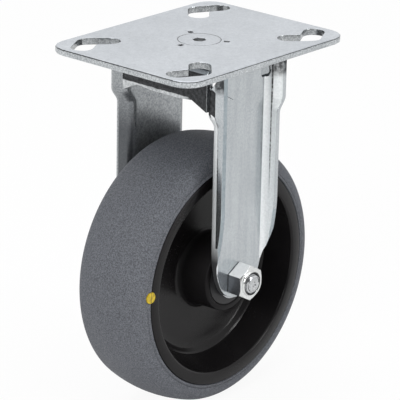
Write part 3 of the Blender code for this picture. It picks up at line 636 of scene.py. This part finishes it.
# Painted-light and painted-shade copies of the nut's finish, for its flats facing up and toward -X
FASTENER_LIT = zinc("zinc_nut_painted_light", light=(0.95, 0.97, 0.98), dark=(0.86, 0.88, 0.89), rough=0.40,
                    metallic=0.25, sheltered=0.0)
FASTENER_SHADED = zinc("zinc_nut_painted_shade", light=(0.10, 0.11, 0.13), dark=(0.06, 0.065, 0.08), rough=0.30,
                     metallic=0.8, sheltered=0.0, speckled=0.04)
BOLT_FACE = zinc("zinc_plated_bolt_end", light=(0.56, 0.57, 0.58), dark=(0.40, 0.41, 0.42), rough=0.16,
                 metallic=1.0, sheltered=0.3, speckled=0.25)
THREADED = zinc("zinc_plated_thread", light=(0.34, 0.35, 0.36), dark=(0.20, 0.21, 0.22), rough=0.22,
                metallic=1.0, sheltered=0.0)

# Finishes of the wheel and of what is in its hub
RUBBER = make_rubber()
BLACK = make_black_plastic("moulded_black_plastic", gloss=0.16, dull=0.30, shine=0.20)
BLACK_HUB = make_black_plastic("moulded_black_hub", gloss=0.45, dull=0.60, shine=0.12)
YELLOW = make_yellow()
SEAL = make_plain("seal_black_nylon", dark=(0.008, 0.008, 0.009), light=(0.016, 0.016, 0.018), rough=0.55)
RING = make_plain("locking_ring_nylon", dark=(0.020, 0.022, 0.025), light=(0.040, 0.043, 0.047),
                  rough=0.45)
STEEL = make_plain("ground_bearing_steel", dark=(0.40, 0.41, 0.43), light=(0.52, 0.53, 0.55), rough=0.22,
                   metallic=1.0)

# CAD nodes that show their own solids
NODE_FINISHES = {
    "axle_bolt": THREADED,
    "nut_locking_ring": RING,
    "axle_tube": STEEL,
    "near_spacer_washer": STEEL,
    "far_spacer_washer": STEEL,
    "marker_plug": YELLOW,
    "bearing_sleeve": STEEL,
    "near_hub_seal": SEAL,
    "far_hub_seal": SEAL,
    "roller_cage": SEAL,
}


def tyre_profile():
    """Crowned tread, round shoulders, a fine groove beside them, and a bead into the rim's groove."""
    crown_centre = WHEEL_RADIUS - TREAD_CROWN_RADIUS
    shoulder_y = TYRE_HALF_WIDTH - TREAD_SHOULDER_RADIUS
    shoulder_r = crown_centre + math.sqrt(
        (TREAD_CROWN_RADIUS - TREAD_SHOULDER_RADIUS) ** 2 - shoulder_y ** 2)
    lean = math.degrees(math.atan2(shoulder_y, shoulder_r - crown_centre))
    tread = arc((crown_centre, 0.0), TREAD_CROWN_RADIUS, 0, lean, TREAD_ARC_STEPS)
    shoulder = arc((shoulder_r, shoulder_y), TREAD_SHOULDER_RADIUS, lean, 90, TREAD_ARC_STEPS)[1:]
    groove = shoulder_r - GROOVE_INSIDE_SHOULDER
    side = [(groove + GROOVE_WALL, TYRE_HALF_WIDTH - GROOVE_WALL),
            (groove, TYRE_HALF_WIDTH - GROOVE_DEPTH),
            (groove - GROOVE_FOOT, TYRE_HALF_WIDTH + GROOVE_FOOT_RISE)]
    bead = [(RIM_RADIUS + BEAD_CORNER, RIM_FACE),
            (RIM_RADIUS + BEAD_CORNER_CUT, RIM_FACE - BEAD_CORNER_DROP),
            (RIM_RADIUS, RIM_FACE - BEAD_CORNER),
            (RIM_RADIUS, TYRE_LOCK_HALF_WIDTH + TYRE_LOCK_DEPTH),
            (RIM_RADIUS - TYRE_LOCK_DEPTH, TYRE_LOCK_HALF_WIDTH)]
    return both_sides(tread + shoulder + side + bead)


def wheel_profile():
    """Rim with a bead groove, dished disc and hub, the same on both sides."""
    seat = RIM_RADIUS - CLEARANCE
    lock = seat - TYRE_LOCK_DEPTH
    rim = [(lock, 0.0), (lock, TYRE_LOCK_HALF_WIDTH),
           (seat, TYRE_LOCK_HALF_WIDTH + TYRE_LOCK_DEPTH), (seat, RIM_FACE - RIM_CORNER),
           (seat - RIM_CORNER_CUT, RIM_FACE - RIM_CORNER_CUT), (seat - RIM_CORNER, RIM_FACE)]
    lip = arc((RIM_LIP_RADIUS + RIM_LIP_ROUND, RIM_FACE - RIM_LIP_ROUND), RIM_LIP_ROUND, 90, 180,
              FILLET_STEPS)
    dish = [(DISH_FLOOR_RADIUS + rise * DISH_FILLET, DISH_FLOOR_HALF_WIDTH + out * DISH_FILLET)
            for rise, out in WALL_FILLET]
    dish += [(DISH_FLOOR_RADIUS + rise * DISH_FILLET, DISC_HALF_THICKNESS + out * DISH_FILLET)
             for rise, out in DISC_FILLET]
    dish += arc((HUB_RADIUS + DISH_FILLET, DISC_HALF_THICKNESS + DISH_FILLET), DISH_FILLET, 270, 180,
                FILLET_STEPS)
    hub = [(HUB_RADIUS - inward, HUB_HALF_LENGTH - drop) for inward, drop in HUB_CORNER]
    bore = [(HUB_BORE_RADIUS + BORE_CHAMFER, HUB_HALF_LENGTH),
            (HUB_BORE_RADIUS, HUB_HALF_LENGTH - BORE_CHAMFER)]
    return both_sides(rim + lip + dish + hub + bore)


def bore_plug(piece):
    """Cut the marker plug's blind hole into a piece."""
    radius = PLUG_RADIUS + CLEARANCE / 2
    start, end = PLUG_FACE - CUT_BEYOND, PLUG_FACE + PLUG_LENGTH + CLEARANCE
    shape = turned([(0.0, start), (radius, start), (radius, end), (0.0, end)], ROUND_STEPS, PLUG_PLACE)
    bmesh.ops.recalc_face_normals(shape, faces=shape.faces)
    cutter = add_object("plug_cutter", shape)
    step = piece.modifiers.new("bore", "BOOLEAN")
    step.operation = "DIFFERENCE"
    step.object = cutter
    step.solver = "EXACT"
    evaluated = piece.evaluated_get(bpy.context.evaluated_depsgraph_get())
    result = bpy.data.meshes.new_from_object(evaluated)
    piece.modifiers.clear()
    piece.data = result
    bpy.data.objects.remove(cutter, do_unlink=True)
    shade(result, SHARP_ANGLE)


def fit_flanges(shape):
    """The flanges reach the plate; two of the four keep a straight tip, and two a straight root."""
    for vert in shape.verts:
        x, y, z = vert.co
        straight_tip = x * y > 0
        raised_from = (FLANGE_TIP if straight_tip else BEND_END) - CLEARANCE
        if abs(y) > raised_from and z > FLANGE_CUT_FROM:
            vert.co.z = z = PLATE_UNDERSIDE - CLEARANCE
        if abs(y) < LEG_OUTSIDE - WELD or z < LEG_WIDENS_FROM:
            continue
        widened = min(1.0, (z - LEG_WIDENS_FROM) / (LEG_WIDENED_AT - LEG_WIDENS_FROM))
        eased = LEG_WIDENING * widened * widened * (3 - 2 * widened)
        reach = max(0.0, min(1.0, (abs(y) - LEG_OUTSIDE) / (FLANGE_TIP - LEG_OUTSIDE)))
        in_root = (CHANNEL_FLAT < abs(x) < CHANNEL_HALF_WIDTH + eased + WELD and abs(y) < BEND_END
                   and (z < CORNER_HOLE_FROM or abs(y) > BEND_END - CLEARANCE))
        if straight_tip:
            vert.co.x -= math.copysign(eased * reach, x)
        elif in_root:
            vert.co.x -= math.copysign(eased, x)


def keep_flats_flat(mesh):
    """Shade each vertex by the faces round it in proportion to area, so large flat faces look flat."""
    sums = [Vector() for _ in mesh.vertices]
    for face in mesh.polygons:
        for index in face.vertices:
            sums[index] += face.normal * face.area
    mesh.normals_split_custom_set_from_vertices([total.normalized() for total in sums])


def rounded_copy(node, finishes, choose, reshape=None, width=PLATED_EDGE_ROUND, segments=2,
                 limit=SHARP_ANGLE):
    """A copy of a CAD node with its sharp edges rounded over; choose(face) picks one of the finishes."""
    shape = bmesh.new()
    shape.from_mesh(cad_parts[node].data)
    if reshape:
        reshape(shape)
    bmesh.ops.remove_doubles(shape, verts=shape.verts, dist=2 * WELD)
    bmesh.ops.dissolve_limit(shape, angle_limit=math.radians(FLAT_WITHIN), verts=shape.verts,
                             edges=shape.edges, delimit=set())
    for face in shape.faces:
        face.material_index = finishes.index(choose(face))
    sharp = [edge for edge in shape.edges
             if len(edge.link_faces) == 2 and edge.calc_face_angle(0.0) > math.radians(limit)]
    bmesh.ops.bevel(shape, geom=sharp, offset=width, segments=segments, profile=0.5,
                    affect="EDGES", clamp_overlap=False, miter_outer="ARC", material=-1)
    piece = new_piece(node + "_rounded", shape, "bracket", finishes, ROUNDED_SHARP_ANGLE, (node,))
    keep_flats_flat(piece.data)


def away(lean, place):
    """How far a face leans away from the middle plane that its place lies beside, from -1 to 1."""
    return lean * ((place > 0) - (place < 0))


def fork_finish(face):
    """Sheared edges are duller than rolled faces; painted shade on the skirts under the plate, the web
    facing the wheel and two outer flanges, and painted light on inner flange faces, two bends and the
    nose's edge.
    """
    middle, normal = face.calc_center_median(), face.normal
    out, height = abs(middle.y), middle.z
    straight_tip = middle.x * middle.y > 0
    outward = away(normal.x, middle.x)
    on_skirt = abs(normal.x) > SKIRT_LEAN and abs(middle.x) > SKIRT_FACE and out < LEG_OUTSIDE
    on_ear = outward > EAR_LEAN and straight_tip and out < BEND_END
    # Painted shade on the skirts and ears under the plate
    if height > SKIRT_LOW and (on_skirt or on_ear):
        return SKIRT
    # Painted light on the inner faces of the flanges and their bends
    if outward < -FLANGE_INSIDE_LEAN and out > LEG_OUTSIDE - BEND_SLACK:
        return PLATED_LIT
    # Painted shade on the web where it faces the wheel
    if away(normal.y, middle.y) < -WEB_LEAN and out < LEG_OUTSIDE + WEB_REACH:
        return PLATED_SHADED
    # Outer flange faces: painted shade where the tip is not straight, painted light on the other two bends
    if outward > FLANGE_OUTSIDE_LEAN and out > LEG_INSIDE:
        if not straight_tip:
            return PLATED_SHADED
        return PLATED_FOOT if out > BEND_END else LIT_FOOT
    if abs(normal.y) > TIP_LEAN and out > LEG_OUTSIDE + TIP_REACH:
        return CUT_EDGE if straight_tip or out < FLANGE_TIP - CLEARANCE else PLATED
    # A painted highlight along the nose's edge
    if abs(normal.y) < NOSE_EDGE_LEAN and LEG_INSIDE < out < LEG_OUTSIDE and height < NOSE_EDGE_TOP:
        return LIT_FOOT
    return PLATED


def sunk_or_wall(face):
    """Whether a face lies below the plate's top or stands upright."""
    return face.calc_center_median().z < PLATE_TOP - WELD or abs(face.normal.z) < WALL_LEAN


def plate_finish(face):
    """Rolled faces, the sheared outline, the darker walls of what is punched through, and painted shade in
    the stakes round the rivet.
    """
    middle, normal = face.calc_center_median(), face.normal
    by_rivet = math.hypot(middle.x, middle.y) < STAKES_WITHIN and middle.z > PLATE_UNDERSIDE + WELD
    if by_rivet and sunk_or_wall(face):
        return PRESSED_SHADE
    if abs(normal.z) >= WALL_LEAN:
        return PLATE_FACE
    looks_outward = middle.x * normal.x + middle.y * normal.y > 0
    near_outline = (abs(middle.x) > PLATE_LENGTH / 2 - OUTLINE_REACH_X
                    or abs(middle.y) > PLATE_WIDTH / 2 - OUTLINE_REACH_Y)
    return PLATE_EDGE if looks_outward and near_outline else SLOT_WALL


def rivet_finish(face):
    """Painted shade in the head's dimple and round its edge."""
    return PRESSED_SHADE if sunk_or_wall(face) else PLATE_FACE


def nut_finish(face):
    """The nut's flats get painted reflections: a pale painted-light copy on those facing up, a dark
    painted-shade copy toward -X, and the plain bright finish elsewhere.
    """
    lean = face.normal
    if abs(lean.y) > NUT_END_LEAN or face.calc_area() < NUT_FLAT_AREA:
        return FASTENER
    if lean.x < -NUT_DARK_LEAN:
        return FASTENER_SHADED
    return FASTENER_LIT if lean.z > NUT_TOP_LEAN else FASTENER


def bolt_end():
    """The bolt's turned end with its centre dimple, and the start of its thread."""
    root = BOLT_RADIUS - THREAD_DEPTH
    profile = [(0.0, BOLT_END - DIMPLE_FLOOR_OUT), (DIMPLE_FOOT_RADIUS, BOLT_END - DIMPLE_FOOT_OUT),
               (DIMPLE_RADIUS, BOLT_END - END_FACE_OUT), (root - END_FACE_INSET, BOLT_END - END_FACE_OUT),
               (root - END_CHAMFER_INSET, BOLT_END - END_CHAMFER_OUT),
               (root - END_SIDE_INSET, BOLT_END + END_SIDE_DEPTH), (0.0, BOLT_END + END_SIDE_DEPTH)]
    shape = turned(profile, ROUND_STEPS)
    previous = None
    for step in range(round(THREAD_TURNS * THREAD_TURN_STEPS) + 1):
        turns = step / THREAD_TURN_STEPS
        turn = math.tau * turns
        y = BOLT_END - THREAD_STARTS_OUT + THREAD_PITCH * turns
        crest = root - THREAD_START_SUNK + (THREAD_DEPTH + THREAD_START_SUNK) * min(1.0, turns)
        foot = root - THREAD_ROOT_SUNK
        section = ((foot, -THREAD_ROOT), (crest, -THREAD_CREST), (crest, THREAD_CREST), (foot, THREAD_ROOT))
        row = [shape.verts.new((AXLE.x + radius * math.cos(turn), y + shift * THREAD_PITCH,
                                AXLE.z + radius * math.sin(turn)))
               for radius, shift in section]
        if previous:
            for index in range(len(row) - 1):
                shape.faces.new((previous[index], previous[index + 1], row[index + 1], row[index]))
        previous = row
    return shape


def make_wheel():
    """The tyre and the wheel centre, turned finely, with the marker plug's hole through both."""
    tyre = new_piece("tyre_round", turned(tyre_profile(), WHEEL_STEPS), "wheel", [RUBBER],
                     replaces=("tyre",))
    bore_plug(tyre)
    finishes = [BLACK, BLACK_HUB]
    shape = turned(wheel_profile(), WHEEL_STEPS)
    for face in shape.faces:
        in_hub = (face.calc_center_median() - AXLE).xz.length < HUB_RADIUS + DISH_FILLET / 2
        face.material_index = finishes.index(BLACK_HUB if in_hub else BLACK)
    centre = new_piece("wheel_centre_round", shape, "wheel", finishes,
                       replaces=("wheel_centre",))
    bore_plug(centre)


def make_bracket():
    """The plate, rivet, fork and nut with rounded edges, and the bolt's end."""
    rounded_copy("top_plate", [PLATE_FACE, PLATE_EDGE, SLOT_WALL, PRESSED_SHADE], plate_finish,
                 segments=3)
    rounded_copy("king_rivet", [PLATE_FACE, PRESSED_SHADE], rivet_finish)
    rounded_copy("fork",
                 [PLATED, CUT_EDGE, SKIRT, PLATED_LIT, PLATED_SHADED, PLATED_FOOT, LIT_FOOT], fork_finish,
                 reshape=fit_flanges, segments=3)
    rounded_copy("axle_nut", [FASTENER, FASTENER_LIT, FASTENER_SHADED], nut_finish,
                 width=NUT_EDGE_ROUND, limit=NUT_EDGE_ANGLE)
    new_piece("bolt_end_thread", bolt_end(), "bracket", [BOLT_FACE], THREAD_SHARP_ANGLE)


def dress(node, finish):
    """Give a CAD node its finish."""
    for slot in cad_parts[node].material_slots:
        slot.material = finish


def add_camera():
    """The camera that took the photograph, as it was fitted."""
    turn, rise = CAMERA_TURN, CAMERA_RISE
    back = Vector((math.sin(turn) * math.cos(rise), -math.cos(turn) * math.cos(rise), math.sin(rise)))
    right = Vector((math.cos(turn), math.sin(turn), 0.0))
    up = Vector((-math.sin(rise) * math.sin(turn), math.sin(rise) * math.cos(turn), math.cos(rise)))
    place = AXLE + back * CAMERA_DISTANCE + right * CAMERA_ACROSS + up * CAMERA_UP
    rolled_right = right * math.cos(CAMERA_ROLL) + up * math.sin(CAMERA_ROLL)
    rolled_up = up * math.cos(CAMERA_ROLL) - right * math.sin(CAMERA_ROLL)
    data = bpy.data.cameras.new("photo_camera")
    data.sensor_width = SENSOR
    data.lens = CAMERA_FOCAL_PIXELS / PHOTO_PIXELS * SENSOR
    data.clip_end = CAMERA_REACH
    camera = bpy.data.objects.new("photo_camera", data)
    bpy.context.collection.objects.link(camera)
    axes = Matrix((rolled_right, rolled_up, back)).transposed().to_4x4()
    camera.matrix_world = Matrix.Translation(place) @ axes
    bpy.context.scene.camera = camera


def add_lamp(name, place, size, power):
    """A rectangular area lamp that looks at the part."""
    data = bpy.data.lights.new(name, "AREA")
    data.shape = "RECTANGLE"
    data.size, data.size_y = size
    data.energy = power
    lamp = bpy.data.objects.new(name, data)
    bpy.context.collection.objects.link(lamp)
    lamp.location = place
    lamp.rotation_euler = (Vector(LAMP_TARGET) - Vector(place)).to_track_quat("-Z", "Y").to_euler()


def seen_share(tree, gloss_level=1.0):
    """1 for camera and transmission rays, and a level for gloss."""
    rays = tree.add("ShaderNodeLightPath").outputs
    gloss = tree.math("MULTIPLY", rays["Is Glossy Ray"], gloss_level)
    seen = tree.math("MAXIMUM", rays["Is Camera Ray"], gloss)
    return tree.math("MAXIMUM", seen, rays["Is Transmission Ray"])


def side_level(tree):
    """The surroundings' brightness by direction: white, and darker toward the dark side."""
    place = tree.add("ShaderNodeTexCoord")
    along = tree.add("ShaderNodeVectorMath", operation="DOT_PRODUCT")
    tree.link(place.outputs["Generated"], along.inputs[0])
    along.inputs[1].default_value = Vector(DARK_SIDE).normalized()
    level = tree.range(along.outputs["Value"], 1.0, DARK_SIDE_LEVEL, *DARK_SIDE_FADE)
    rays = tree.add("ShaderNodeLightPath").outputs
    return tree.math("MAXIMUM", level, rays["Is Camera Ray"])


def add_surroundings():
    """Soft even light from all round; the camera sees white, and reflections see the darker side too."""
    world = bpy.data.worlds.new("studio")
    bpy.context.scene.world = world
    world.use_nodes = True
    tree = Tree(world.node_tree)
    soft = tree.nodes["Background"]
    tree.feed(soft.inputs["Color"], WHITE)
    tree.feed(soft.inputs["Strength"], AMBIENT)
    white = tree.add("ShaderNodeBackground")
    tree.feed(white.inputs["Color"], WHITE)
    tree.feed(white.inputs["Strength"], side_level(tree))
    tree.show(seen_share(tree), soft.outputs[0], white.outputs[0], "World Output")


def add_floor():
    """A plain pale floor, lifted toward white where the camera sees it."""
    shape = bmesh.new()
    bmesh.ops.create_grid(shape, x_segments=1, y_segments=1, size=FLOOR_HALF_SIZE)
    floor = add_object("floor", shape)
    paint = bpy.data.materials.new("floor_white")
    paint.use_nodes = True
    tree = Tree(paint.node_tree)
    base = tree.nodes["Principled BSDF"]
    tree.feed(base.inputs["Base Color"], FLOOR_PAINT)
    tree.feed(base.inputs["Roughness"], FLOOR_ROUGHNESS)
    glow = tree.add("ShaderNodeEmission")
    tree.feed(glow.inputs["Strength"], 1.0)
    share = tree.math("MULTIPLY", seen_share(tree, FLOOR_IN_GLOSS), FLOOR_LIFT)
    tree.show(share, base.outputs[0], glow.outputs[0], "Material Output")
    floor.data.materials.append(paint)


make_wheel()
make_bracket()
for node, finish in NODE_FINISHES.items():
    dress(node, finish)
for number in range(1, ROLLER_COUNT + 1):
    dress(f"roller_{number}", STEEL)
add_camera()
add_surroundings()
add_floor()
for lamp in LAMPS:
    add_lamp(*lamp)
bpy.context.scene.view_settings.view_transform = "Standard"
